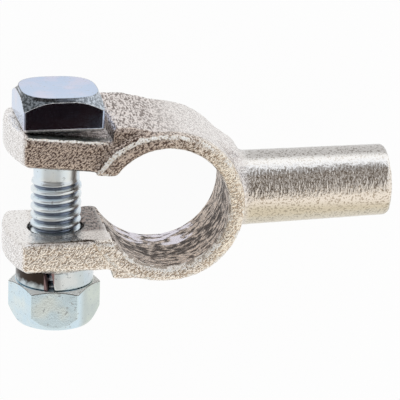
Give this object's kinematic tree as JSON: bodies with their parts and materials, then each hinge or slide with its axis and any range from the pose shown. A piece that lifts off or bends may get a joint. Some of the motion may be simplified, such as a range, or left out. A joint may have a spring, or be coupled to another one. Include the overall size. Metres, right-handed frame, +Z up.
{
  "type": "battery terminal clamp",
  "caption": "Cast split-ring battery terminal clamp with a cable barrel, a tapered post bore and a square-head pinch bolt with spring washer and nut.",
  "frame": {"origin": "on the axis of the post bore, at the ring's wide lower face", "axes": "+Z up along the post bore to the ring's upper face, +X from the slit towards the cable barrel, +Y along the pinch bolt towards its head"},
  "size_m": [0.0609, 0.0381, 0.018],
  "materials": {
    "casting": "tin-plated sand-cast brass, grainy and dull silver-grey with a warm cast",
    "bolt": "bright zinc-plated steel with a pale blue passivation",
    "washer": "bright zinc-plated spring steel",
    "nut": "bright zinc-plated steel with a pale blue and yellow-green passivation"
  },
  "bodies": {
    "clamp": {"clamp_casting": "casting", "pinch_bolt": "bolt"},
    "washer": {"spring_washer": "washer"},
    "nut": {"hex_nut": "nut"}
  },
  "joints": [
    {"name": "washer_slide", "type": "slide", "parent": "clamp", "child": "washer", "axis": [0, -1, 0], "range_m": [0, 0.00529]},
    {"name": "nut_turn", "type": "hinge", "parent": "washer", "child": "nut", "pos_m": [-0.0163, 0, 0.0083], "axis": [0, -1, 0], "range_deg": [0, 1350]}
  ],
  "couplings": [
    {"joint": "nut_turn", "follows": "washer_slide", "rad_per_m": 4452.7}
  ]
}
